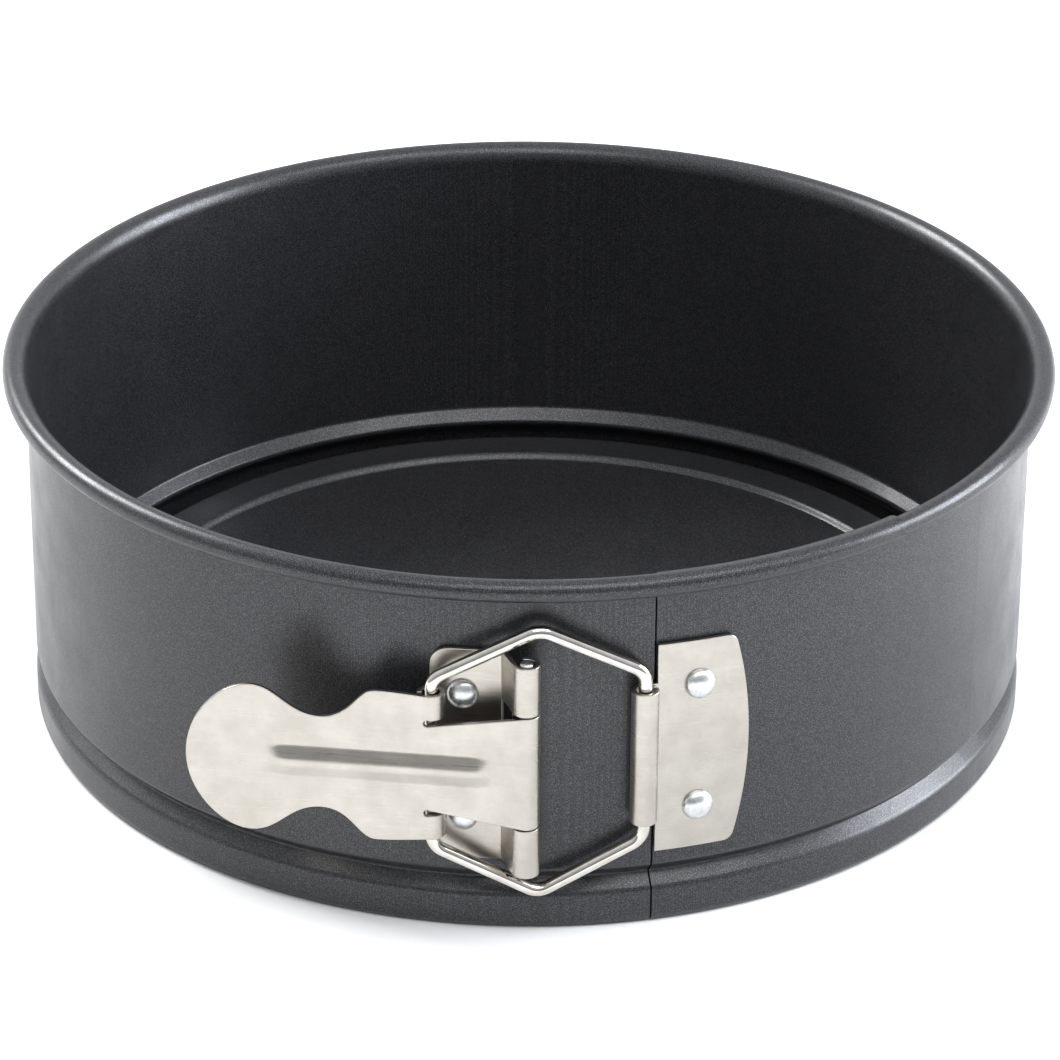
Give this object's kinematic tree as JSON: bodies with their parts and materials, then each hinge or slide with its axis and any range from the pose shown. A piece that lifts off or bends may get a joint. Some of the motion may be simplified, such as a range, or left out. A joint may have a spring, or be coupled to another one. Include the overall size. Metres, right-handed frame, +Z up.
{
  "type": "springform pan",
  "caption": "Round cake pan whose sprung side band opens with an over-centre wire latch and lifts off a loose base plate.",
  "frame": {"origin": "on the table, under the middle of the whole pan's outline, latch included", "axes": "+Z up, the latch faces -Y, +X to the right when facing the latch"},
  "size_m": [0.214, 0.218, 0.077],
  "materials": {
    "coated_steel": "dark grey non-stick coating with a fine metallic fleck",
    "satin_nickel": "satin nickel-plated sheet",
    "bright_wire": "bright plated wire",
    "rivet_steel": "satin domed rivet"
  },
  "bodies": {
    "band_back": {"band_back": "coated_steel"},
    "band_left_side": {"band_left_side": "coated_steel"},
    "band_right_side": {"band_right_side": "coated_steel"},
    "band_left_front": {"band_left_front": "coated_steel", "hinge_bracket": "satin_nickel", "hinge_pin": "rivet_steel", "hinge_rivet_upper": "rivet_steel", "hinge_rivet_lower": "rivet_steel"},
    "band_right_front": {"band_right_front": "coated_steel", "bail_bracket": "satin_nickel", "bail_rivet_upper": "rivet_steel", "bail_rivet_lower": "rivet_steel"},
    "lever": {"lever": "satin_nickel"},
    "bail": {"bail": "bright_wire"},
    "base": {"base_plate": "coated_steel"}
  },
  "joints": [
    {"name": "left_rear_flex", "type": "hinge", "parent": "band_back", "child": "band_left_side", "pos_m": [-0.09266, 0.05553, 0.0385], "axis": [0, 0, -1], "range_deg": [0, 1.31]},
    {"name": "left_front_flex", "type": "hinge", "parent": "band_left_side", "child": "band_left_front", "pos_m": [-0.09266, -0.05147, 0.0385], "axis": [0, 0, -1], "range_deg": [0, 1.31]},
    {"name": "right_rear_flex", "type": "hinge", "parent": "band_back", "child": "band_right_side", "pos_m": [0.09266, 0.05553, 0.0385], "axis": [0, 0, 1], "range_deg": [0, 1.31]},
    {"name": "right_front_flex", "type": "hinge", "parent": "band_right_side", "child": "band_right_front", "pos_m": [0.09266, -0.05147, 0.0385], "axis": [0, 0, 1], "range_deg": [0, 1.31]},
    {"name": "lever_swing", "type": "hinge", "parent": "band_left_front", "child": "lever", "pos_m": [0, -0.10637, 0.0389], "axis": [0, 0, 1], "range_deg": [0, 100]},
    {"name": "bail_swing", "type": "hinge", "parent": "lever", "child": "bail", "pos_m": [-0.01786, -0.10414, 0.0389], "axis": [0, 0, -1], "range_deg": [0, 64.65]},
    {"name": "base_lift", "type": "slide", "parent": "band_back", "child": "base", "axis": [0, 0, 1], "range_m": [0, 0.085]}
  ],
  "couplings": [
    {"joint": "left_rear_flex", "follows": "lever_swing", "ratio": 0.01308},
    {"joint": "left_front_flex", "follows": "lever_swing", "ratio": 0.01308},
    {"joint": "right_rear_flex", "follows": "lever_swing", "ratio": 0.01308},
    {"joint": "right_front_flex", "follows": "lever_swing", "ratio": 0.01308},
    {"joint": "bail_swing", "follows": "lever_swing", "ratio": 0.64646}
  ]
}
